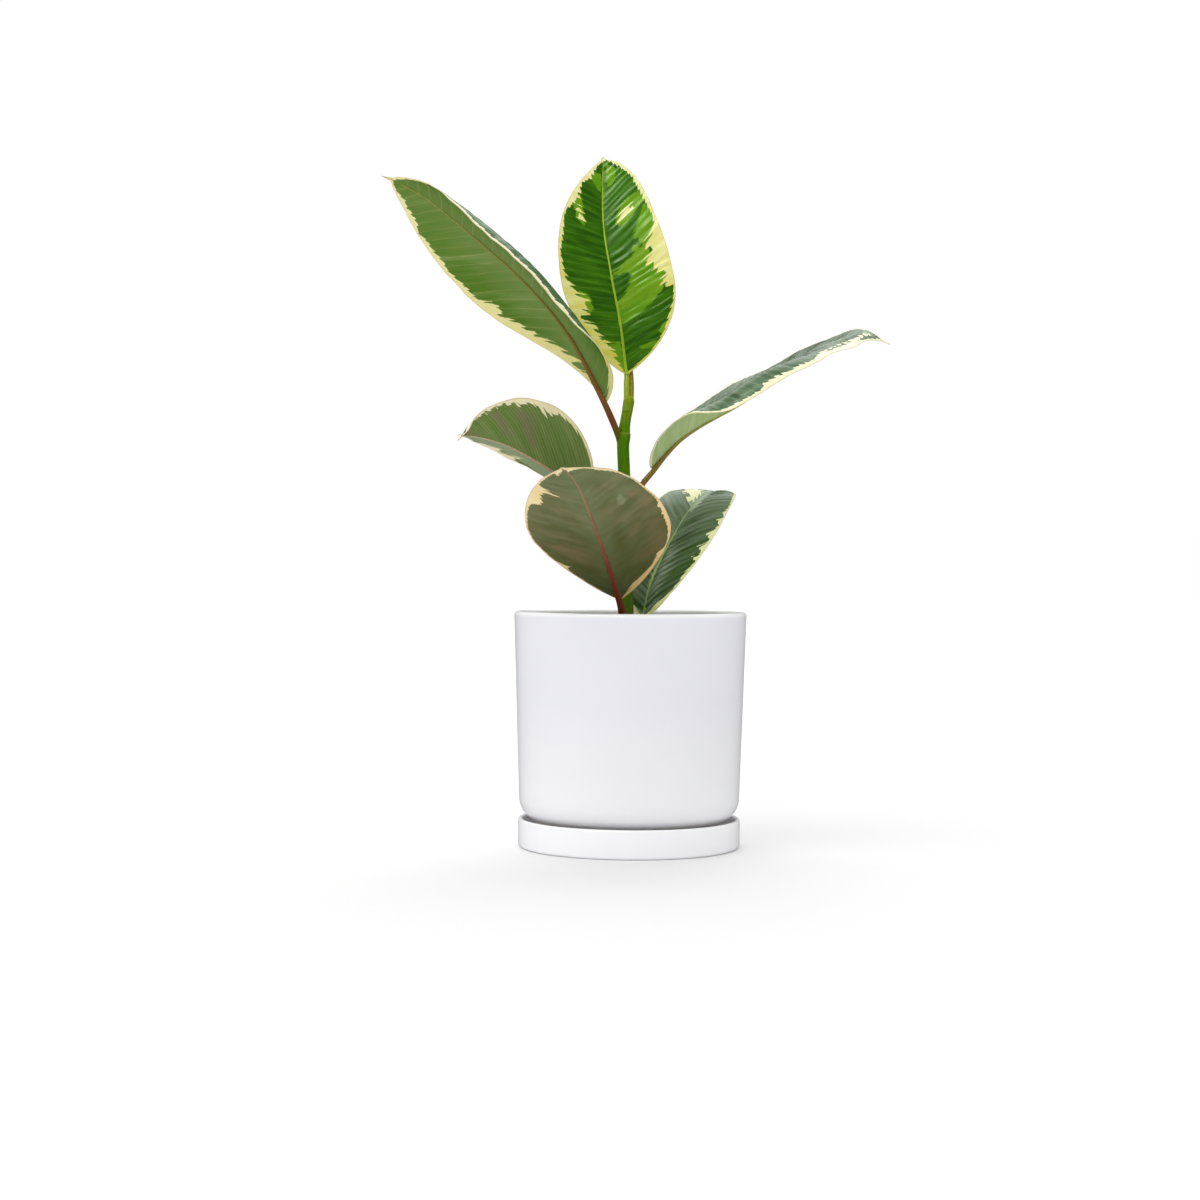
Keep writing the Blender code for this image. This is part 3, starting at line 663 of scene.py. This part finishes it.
LEAVES["lower_right"] = dict(
    midrib=[(9, 5, 168), (15, 12, 193), (28, 24, 221), (46, 42, 250), (62, 62, 262), (72, 88, 258),
            (75.5, 103.5, 247)],
    petiole=[(-2.5, 0, 157), (2.5, 3.5, 158.5), (6, 6.5, 161)],
    thick=2.2, keel=(1, 0.93), face=(-0.3, -0.5, 1), drip=0.02, seed=53, vein_mm=6, rib_mm=0.8, tooth_mm=5,
    teeth=0.7, lines=0.2, streak=(4, 30), sheen="#a4a8a4", bleach=0.55,
    left=dict(
        form=(37, 0.5, 0.6, 0.7), lift=[10, 15, 15], curl=[-20, -30, -20], rise=[0.6, 0.8, 1], margin=1.2,
        cream=[(10, 20), (30, 33), (50, 36), (70, 31), (85, 20)]),
    right=dict(
        form=(28, 0.5, 0.6, 1.3), lift=[0, -5, 20], curl=[-60, -60, -20], ripple=0.4, rise=[1.5, 1.5, 1.5],
        margin=1.2,
        cream=[(3, 5), (7, 9), (10, 13), (15, 17), (20, 20), (25, 21), (30, 23.5), (32.5, 25), (33.5, 21),
            (35, 24), (38, 25.5), (39, 21.5), (42, 24.5), (45, 26.5), (46.5, 22.5), (50, 25), (54.5, 26.5),
            (56, 23), (60, 26), (62, 22.5), (66, 23.5), (70, 20), (75, 16.5), (80, 12.5), (90, 4.5)]),
    patches=[
        ("cream", [(72, -19), (71, -8), (66, -4), (60, -3), (60, -6), (64, -10), (65, -17), (68, -20)]),
        ("pale", [(75, -4), (72, -8), (66, -8), (60, -5), (53, 3), (60, 4), (70, 2)]),
        ("warm", [(58, 24), (45, 16), (30, 13), (10, 7), (10, 20), (30, 28), (50, 30)])],
    upper="#304b1e #74836b #a2b498 #e8ec94 #f8f6cc #6c8468 #8aa860 #c9c48a #35560f",
    under="#4f6f3c #5f8048 #98ae78 #e6e0ac #f2ecc8 #7d9862 #a8a860 #c9b88a #7a7a4c",
    stalk="#6a7a2c #7a8a3c #8aa860 #a8b878")


def half_breadth(half, s, drip):
    """Breadth of one half of a blade at a share of its length, ending in a narrow drip tip."""
    breadth, widest, base, tip = half["form"]
    if s < widest:
        return breadth * (1 - (1 - s / widest) ** 2) ** base
    rest = max(0.0, (1 - drip - s) / (1 - drip - widest))
    body = (1 - (1 - rest) ** 2) ** tip
    return breadth * max(body, DRIP_BREADTH * min(1.0, (1 - s) / drip))


def leaf_frames(leaf, rows):
    """For each row of a blade: its share of the length, midrib point, upward and rightward ways."""
    midrib = [Vector(p) for p in leaf["midrib"]]
    face = Vector(leaf["face"])
    frames = []
    for row, t in enumerate(even_steps(midrib, rows)):
        ahead = along(midrib, min(1, t + 0.001)) - along(midrib, max(0, t - 0.001))
        ahead.normalize()
        flat_up = (face - ahead * face.dot(ahead)).normalized()
        flat_right = ahead.cross(flat_up)
        s = row / rows
        roll = radians(along(leaf["roll"], s))
        up = flat_up * cos(roll) + flat_right * sin(roll)
        right = flat_right * cos(roll) - flat_up * sin(roll)
        frames.append((s, along(midrib, t), up, right))
    return frames


def half_row(leaf, half, side, frame_row, length):
    """Points of one row from the midrib to the margin, with how each lies on the grown leaf."""
    s, point, up, right = frame_row
    width = half_breadth(half, s, leaf["drip"]) / BLADE_COLUMNS
    lift = along(half["lift"], s)
    curl = along(half["curl"], s)
    steep = along(half["rise"], s)
    cells = []
    for column in range(BLADE_COLUMNS):
        q = (column + 0.5) / BLADE_COLUMNS
        slope = radians(lift + curl * q)
        point = point + (right * side * cos(slope) + up * sin(slope)) * width
        q = (column + 1) / BLADE_COLUMNS
        from_midrib = q * width * BLADE_COLUMNS
        vein = s * length - steep * from_midrib
        normal = up * cos(slope) - right * side * sin(slope)
        inner = sin(pi * min(1, q * 1.02)) ** 0.5 if q < 0.98 else 0
        swell, drift, quilt = [
            noise.noise(Vector((vein / long_mm, from_midrib / wide_mm, leaf["seed"] + shift)))
            for long_mm, wide_mm, shift in ((14, 16, 7), (30, 22, 3), (9, 26, 0))]
        furrow = sin(2 * pi * (vein / leaf["vein_mm"] + 0.6 * drift))
        rise = half["ripple"] * (0.35 + 3 * max(0, swell)) * inner * furrow
        groove = GROOVE_DEPTH * exp(-(from_midrib / GROOVE_MM) ** 2)
        rise += (quilt * QUILT - groove) * min(1, width)
        wave = noise.noise(Vector((s * length / 13, side * 5.0, leaf["seed"] + 0.5)))
        rise += wave * MARGIN_WAVE * q ** 3 * min(1, width)
        cells.append((point + normal * rise, vein, side * from_midrib))
    return cells


def depth_inside(outline, run, across, length):
    """How deep, in millimetres, each place lies inside an outline drawn on the flattened blade."""
    corners = [np.array((s / 100 * length, m)) for s, m in outline]
    here = np.stack([run, across], 1)
    gap = np.full(len(here), 1e9)
    inside = np.zeros(len(here), bool)
    for first, second in zip(corners, corners[1:] + corners[:1]):
        edge = second - first
        reach = np.clip((here - first) @ edge / (edge @ edge), 0, 1)
        gap = np.minimum(gap, np.linalg.norm(here - first - reach[:, None] * edge, axis=1))
        if first[1] != second[1]:
            crossing = first[0] + (across - first[1]) * edge[0] / edge[1]
            spans = (first[1] > across) != (second[1] > across)
            inside ^= spans & (run < crossing)
    return np.where(inside, gap, -gap)


def make_blade(name, leaf):
    """The blade: a fine sheet on the leaf's form, with the leaf's pattern on it, then thickened."""
    midrib = [Vector(p) for p in leaf["midrib"]]
    spine = [along(midrib, k / 200) for k in range(201)]
    length = sum((after - before).length for before, after in zip(spine, spine[1:]))
    rows = round(length / ROW_MM)
    cells = []
    for frame_row in leaf_frames(leaf, rows):
        s, middle, up, _ = frame_row
        left = half_row(leaf, leaf["left"], -1, frame_row, length)
        groove = GROOVE_DEPTH * min(1, -left[-1][2] / 20)
        cells += left[::-1] + [(middle - up * groove, s * length, 0.0)]
        cells += half_row(leaf, leaf["right"], 1, frame_row, length)
    line = 2 * BLADE_COLUMNS + 1
    points, vein, across = zip(*cells)
    sheet = grown_sheet("blade_" + name, line - 1, rows, points)
    vein = np.array(vein)
    across = np.array(across)
    run = np.repeat(np.linspace(0, length, rows + 1), line)
    edges = np.concatenate([np.stack([run[::line], across[::line]], 1),
                            np.stack([run[::line], across[line - 1::line]], 1)])
    from_edge = np.min(np.hypot(run[:, None] - edges[None, :, 0], across[:, None] - edges[None, :, 1]), 1)
    cream = np.full(len(run), -1e9)
    for side, half in ((-1, leaf["left"]), (1, leaf["right"])):
        green_end = [(s, side * m) for s, m in half["cream"]]
        outline = [(0, 0), *green_end, (100, 0), (120, side * 80), (-20, side * 80)]
        band = np.maximum(depth_inside(outline, run, across, length), half["margin"] - from_edge)
        cream = np.where(across * side >= 0, band, cream)
    pale = np.minimum(cream, 0)
    warm = np.full(len(run), float(leaf["mottle"]))
    for kind, outline in leaf["patches"]:
        depth = depth_inside(outline, run, across, length) + PATCH_SPREAD
        if kind == "cream":
            cream = np.maximum(cream, depth)
        if kind == "pale":
            pale = np.maximum(pale, depth)
        if kind == "green":
            cream = np.minimum(cream, -depth)
            pale = np.minimum(pale, -depth)
        if kind == "warm":
            warm = np.maximum(warm, np.clip(0.5 + depth / 8, 0, 0.85))
    jag = np.clip(0.32 * (from_edge + cream), LEAST_TOOTH, DEEPEST_TOOTH) * leaf["teeth"]
    rib_end = leaf["keel"][1]
    taper = np.interp(run / length, [0, rib_end - 0.1, rib_end + 0.04, 1], [1, 0.46, 0.18, 0.12])
    rib = np.abs(across) / (leaf["rib_mm"] * taper)
    for title, parts in (("vein_place", (vein, across, run)), ("zones", (cream, pale, warm)),
                         ("reach", (from_edge, jag, rib))):
        store(sheet, title, "FLOAT_VECTOR", "vector", np.stack(parts, 1))
    group = sheet.vertex_groups.new(name="body")
    for index, edge in enumerate(from_edge):
        group.add([index], min(1.0, 0.5 + edge / 30), "REPLACE")
    close_up(sheet)
    for side_name in ("upper", "under"):
        sheet.data.materials.append(leaf_skin(name, leaf, side_name, length))
    thick = sheet.modifiers.new("thickness", "SOLIDIFY")
    thick.thickness = BLADE_THICKNESS * MM
    thick.offset = 0
    thick.vertex_group = "body"
    thick.material_offset = 1
    bpy.ops.object.modifier_apply(modifier="thickness")
    bpy.ops.object.shade_smooth_by_angle(angle=radians(50))
    return sheet


def leaf_skin(name, leaf, side_name, length):
    """One side of a blade: streaked green with painted shade between the veins, a painted sheen by the
    midrib, a paler zone, and a cream margin jagged along veins.
    """
    waxy = side_name == "upper"
    tones = dict(zip(TONES, leaf[side_name].split()))
    kind = "waxy upper side" if waxy else "satin underside"
    made, node = new_finish(f"living rubber plant leaf, {kind}, {name}", {
        "IOR": 1.45, "Specular IOR Level": 0.4 if waxy else 0.12, "Specular Tint": leaf["sheen"]})
    fields = [node("Attribute", out="Vector", attribute_name=title)
              for title in ("vein_place", "zones", "reach")]
    lie, zones, reach = [node("SeparateXYZ", {"Vector": field}).node.outputs for field in fields]
    grids = [node("Mapping", {"Vector": fields[0], "Location": (leaf["seed"] + shift, shift, 0),
                              "Scale": (1 / wide_mm, 1 / long_mm, 0)})
             for shift, wide_mm, long_mm in ((0, leaf["tooth_mm"] * 0.6, 10), (5, 7, 26), (9, 1.3, 8),
                                             (13, *leaf["streak"]))]
    step = node("TexVoronoi", {"Vector": grids[0], "Scale": 1, "Randomness": 0.85}, out="Color",
                voronoi_dimensions="2D")
    patch, fringe, streak = [node("TexNoise", {"Vector": grid, "Scale": scale, "Detail": detail})
                             for grid, scale, detail in zip(grids[1:], (0.5, 1, 1), (4, 2, 4))]

    spacing = node("Math", [lie[0], 1 / leaf["vein_mm"], leaf["seed"]], operation="MULTIPLY_ADD")
    turn = node("Math", [streak, 0.35, spacing], operation="MULTIPLY_ADD")
    ridge = node("Math", [turn, 0.5], operation="PINGPONG")
    # Random streaks, with painted shade that darkens the green midway between the veins and lightens it by
    # them.
    streaks_and_vein_shade = node("Math", [ridge, leaf["lines"], streak], operation="MULTIPLY_ADD")
    notches = node("Math", [lie[0], 1 / leaf["tooth_mm"], streak], operation="MULTIPLY_ADD")
    tooth = node("Math", [notches], operation="FRACT")
    jump = node("Math", [step, 1.3, 0.1], operation="MULTIPLY_ADD")
    fray = node("Math", [fringe, 0.5, jump], operation="MULTIPLY_ADD")
    teeth = node("Math", [tooth, -2, fray], operation="MULTIPLY_ADD")
    wobble = node("Math", [teeth, reach[1]], operation="MULTIPLY")
    cream_depth = node("Math", [zones[0], wobble], operation="ADD")
    pale_depth = node("Math", [wobble, 0.5, zones[1]], operation="MULTIPLY_ADD")
    away = node("Math", [lie[1]], operation="ABSOLUTE")
    ripe = node("Math", [lie[2], 0.5 / length, streak], operation="MULTIPLY_ADD")

    clear = node("MapRange", [patch, 0.3, 0.6, 0, leaf["lines"]])
    # The paler tone by the midrib is a painted sheen, at its strongest up to half way and gone by the tip.
    sheen_fade = node("MapRange", [lie[2], length * 0.5, length, 0.5 if leaf["midrib_sheen"] else 0, 0])
    shares = {}
    for title, value, low, high, start, end in (
            ("shade", streaks_and_vein_shade, 0.42, 0.78, 0, 1), ("banded", patch, 0.5, 0.75, 0, 0.4),
            ("mottled", patch, 0.42, 0.6, 0.35, 1), ("midrib_sheen", away, 0, leaf["midrib_sheen"] + 0.01, sheen_fade, 0),
            ("deep", lie[2], 0, leaf["deep"], 0.75, 0),
            ("bleached", lie[2], length * 0.35, length, 0, leaf["bleach"]),
            ("line", ridge, 0.455, 0.5, 0, clear), ("pale", pale_depth, -0.3, 0.4, 0, 0.92),
            ("mixed", patch, 0.38, 0.66, 0, 0.75), ("cream", cream_depth, -0.25, 0.25, 0, 1),
            ("cloud", ripe, 0.45, 1.05, 0, 1), ("rib", reach[2], 0.5, 0.9, 1, 0),
            ("rim", reach[0], 0.2, 0.7, 0.6, 0),
            ("gloss", streak, 0.2, 0.8, 0.2 if waxy else 0.45, 0.32 if waxy else 0.6)):
        change = "SMOOTHSTEP" if title in ("line", "pale", "cream", "rib") else "LINEAR"
        shares[title] = node("MapRange", [value, low, high, start, end], interpolation_type=change)
    shares["warmth"] = node("Math", [zones[2], shares["mottled"]], operation="MULTIPLY")
    shares["thread"] = node("Math", [shares["line"], 0.5], operation="MULTIPLY")
    for title, share, first, second in (("soft", "mixed", "pale", "vein"),
                                        ("butter", "cloud", "cream", "light")):
        tones[title] = node("Mix", {0: shares[share], 6: tones[first], 7: tones[second]}, out=2,
                            data_type="RGBA")
    colour = tones["dark"]
    for share, tone in (("shade", "mid"), ("banded", "vein"), ("warmth", "warm"), ("midrib_sheen", "pale"),
                        ("deep", "dark"), ("bleached", "pale"), ("line", "vein"), ("pale", "soft"),
                        ("thread", "light"), ("cream", "butter"), ("rib", "midrib"), ("rim", "edge")):
        colour = node("Mix", {0: shares[share], 6: colour, 7: tones[tone]}, out=2, data_type="RGBA")
    relief = node("Math", [shares["line"], -1.6 if waxy else 1.6, fringe], operation="MULTIPLY_ADD")
    bump = node("Bump", {"Height": relief, "Strength": 0.05 if waxy else 0.1, "Distance": 0.3 * MM})
    return patterned(made, {"Base Color": colour, "Roughness": shares["gloss"], "Normal": bump})


def stalk_skin(name, tones):
    """Petiole and midrib skin: smooth and satin, redder by the stem and paler towards the tip."""
    made, node = new_finish(name, {"IOR": 1.45, "Specular IOR Level": 0.35})
    foot, low, middle, high = [linear(tone) for tone in tones.split()]
    run = node("Attribute", out="Fac", attribute_name="run")
    place = node("TexCoord", out="Object")
    streak = node("TexNoise", {"Vector": place, "Scale": 420, "Detail": 3})
    ramp = node("ValToRGB", {"Fac": run})
    spots = ramp.node.color_ramp.elements
    spots[0].color = foot
    spots[1].color = high
    for position, colour in ((0.03, foot), (0.07, low), (0.4, middle), (0.85, high)):
        spots.new(position).color = colour
    deep = node("Mix", {0: 0.5, 6: ramp, 7: "#3a2a10"}, out=2, data_type="RGBA")
    share = node("MapRange", [streak, 0.45, 0.75, 0, 0.45])
    colour = node("Mix", {0: share, 6: ramp, 7: deep}, out=2, data_type="RGBA")
    gloss = node("MapRange", [streak, 0, 1, 0.38, 0.55])
    return patterned(made, {"Base Color": colour, "Roughness": gloss})


def make_petiole(name, leaf):
    """The leaf's stalk, which runs on half sunk in the underside of the blade as its midrib."""
    thick = leaf["thick"]
    keel, keel_end = leaf["keel"]
    knots = [Vector(p) for p in leaf["petiole"]]
    radii = [thick * PETIOLE_FLARE] + [thick] * (len(knots) - 1)
    for s, point, up, _ in leaf_frames(leaf, KEEL_KNOTS):
        if s > keel_end:
            break
        radius = thick * (0.92 - 1.1 * s + 0.45 * s ** 2) * (1 - (1 - keel) * min(1, s / 0.3))
        sunk = BLADE_THICKNESS * 0.4 + radius * max(0.35, 0.85 - 3 * s)
        knots.append(point - up * sunk)
        radii.append(radius)
    radii[-1] = KEEL_END_RADIUS
    knots.append(knots[-1] + (knots[-1] - knots[-2]) * 0.3)
    radii.append(0.0)
    spots = even_steps(knots, PETIOLE_ROWS)
    points = [along(knots, t) for t in spots]
    widths = [max(0.0, along(radii, t)) for t in spots]
    widths[0] = 0.0
    widths[-1] = 0.0
    tube = grown_tube("stalk_" + name, points, widths, PETIOLE_SIDES)
    places = np.array([tuple(p) for p in points]) * MM
    spread = np.array([tuple(v.co) for v in tube.data.vertices])
    nearest = np.argmin(((spread[:, None, :] - places[None, :, :]) ** 2).sum(2), 1)
    store(tube, "run", "FLOAT", "value", nearest / PETIOLE_ROWS)
    tube.data.materials.append(stalk_skin("living petiole and midrib skin, " + name, leaf["stalk"]))
    return tube


for name, grown in LEAVES.items():
    leaf = {**PLAIN_LEAF, **grown}
    for side in ("left", "right"):
        leaf[side] = {**PLAIN_HALF, **leaf[side]}
    seat(make_blade(name, leaf), "leaf_" + name, "leaf_" + name)
    seat(make_petiole(name, leaf), "petiole_" + name, "petiole_" + name)


# Bud sheath: the slim pointed sheath that wraps the next leaf, grown beside the top petiole. It
# is thin and papery, olive at its foot and tinged red at its point.
SHEATH_ROUTE = [(-0.4, 1.0, 325), (-0.1, 3.8, 336), (-0.3, 6.7, 346), (-0.6, 10, 356)]
SHEATH_RADII = [1.7, 1.65, 1.35, 0.4]
SHEATH_LENGTH = 31
SHEATH_ROWS = 60
SHEATH_SIDES = 16
sheath_knots = [Vector(p) for p in SHEATH_ROUTE]
spots = even_steps(sheath_knots, SHEATH_ROWS)
sheath_points = [along(sheath_knots, t) for t in spots]
sheath_radii = [along(SHEATH_RADII, t) * (1 - 0.85 * max(0, t - 0.85) / 0.15) for t in spots]
sheath_radii[0] = 0.0
sheath_radii[-1] = 0.0
sheath = grown_tube("bud_sheath_papery", sheath_points, sheath_radii, SHEATH_SIDES)
tall = [(v.co.z / MM - SHEATH_ROUTE[0][2]) / SHEATH_LENGTH for v in sheath.data.vertices]
store(sheath, "run", "FLOAT", "value", np.clip(tall, 0, 1))
sheath.data.materials.append(stalk_skin("papery bud sheath", "#5f7a0e #7f8a12 #8a8a1a #8a5a2c"))
seat(sheath, "sheath_skin", "bud_sheath")


# Studio: a pale floor under wide soft light from the upper left, glowing further out as painted
# light, with a camera at the photo's place. Shiny pieces mirror a darker room than the white
# backdrop that the camera sees, as in a studio whose lamps are few and far away.
FLOOR_SIZE = 30.0
SOFTBOX_WAY = (-0.5, -0.65, 1.2)
bpy.ops.mesh.primitive_plane_add(size=FLOOR_SIZE)
floor = bpy.context.object
floor.name = "studio_floor"
paint, node = new_finish("matt white studio floor", {
    "Base Color": "#ececec", "Emission Color": "#ffffff", "Roughness": 0.9, "Specular IOR Level": 0.1})
# The floor glows more and more from 0.4 m to 3 m out, as painted light that blends it into the white
# backdrop.
place = node("TexCoord", out="Object")
reach = node("VectorMath", {0: place}, out="Value", operation="LENGTH")
painted_glow = node("MapRange", [reach, 0.4, 3.0, 0, 0.12])
floor.data.materials.append(patterned(paint, {"Emission Strength": painted_glow}))
floor.visible_glossy = False

world = bpy.data.worlds.new("white studio")
world.use_nodes = True
tree = world.node_tree
tree.nodes["Background"].inputs["Strength"].default_value = 0.8
tree.nodes["Background"].inputs["Color"].default_value = linear("#ffffff")
node = partial(add_node, tree)
backdrop = node("Background", {"Color": "#ffffff", "Strength": 1.0})
toward = node("TexCoord", out="Generated")
facing = node("VectorMath", {0: toward, 1: Vector(SOFTBOX_WAY).normalized()}, out="Value",
              operation="DOT_PRODUCT")
softbox = node("MapRange", [facing, 0.962, 0.988, 0.13, 12.0])
mirrored = node("Background", {"Color": "#ffffff", "Strength": softbox})
ray = node("LightPath").node.outputs
room = node("MixShader", {0: ray["Is Glossy Ray"], 1: tree.nodes["Background"].outputs[0], 2: mirrored})
chosen = node("MixShader", {0: ray["Is Camera Ray"], 1: room, 2: backdrop})
tree.links.new(chosen, tree.nodes["World Output"].inputs["Surface"])
bpy.context.scene.world = world

for title, energy, spread, source in (("soft key", 0.8, 60, (-0.6, -0.65, 1.2)),
                                      ("broad top light", 0.95, 55, (0.0, 0.75, 1.0))):
    light = bpy.data.lights.new(title, "SUN")
    light.energy = energy
    light.angle = radians(spread)
    lamp = bpy.data.objects.new(title, light)
    lamp.rotation_euler = Vector(source).to_track_quat("Z", "Y").to_euler()
    bpy.context.scene.collection.objects.link(lamp)

# The camera's place and lens come from the ellipses of the pot's lip and the saucer in the photo
CAMERA_PLACE = (-0.0223, -1.612, 0.206)
CAMERA_DOWN = 0.911
CAMERA_ROLL = 0.4
lens = bpy.data.cameras.new("photo camera")
lens.lens = 66
lens.sensor_width = 36
lens.clip_end = 100
camera = bpy.data.objects.new("photo camera", lens)
pitch = Matrix.Rotation(radians(90 - CAMERA_DOWN), 4, "X")
roll = Matrix.Rotation(radians(CAMERA_ROLL), 4, "Z")
camera.matrix_world = Matrix.Translation(CAMERA_PLACE) @ pitch @ roll
bpy.context.scene.collection.objects.link(camera)
bpy.context.scene.camera = camera
bpy.context.scene.view_settings.view_transform = "Standard"
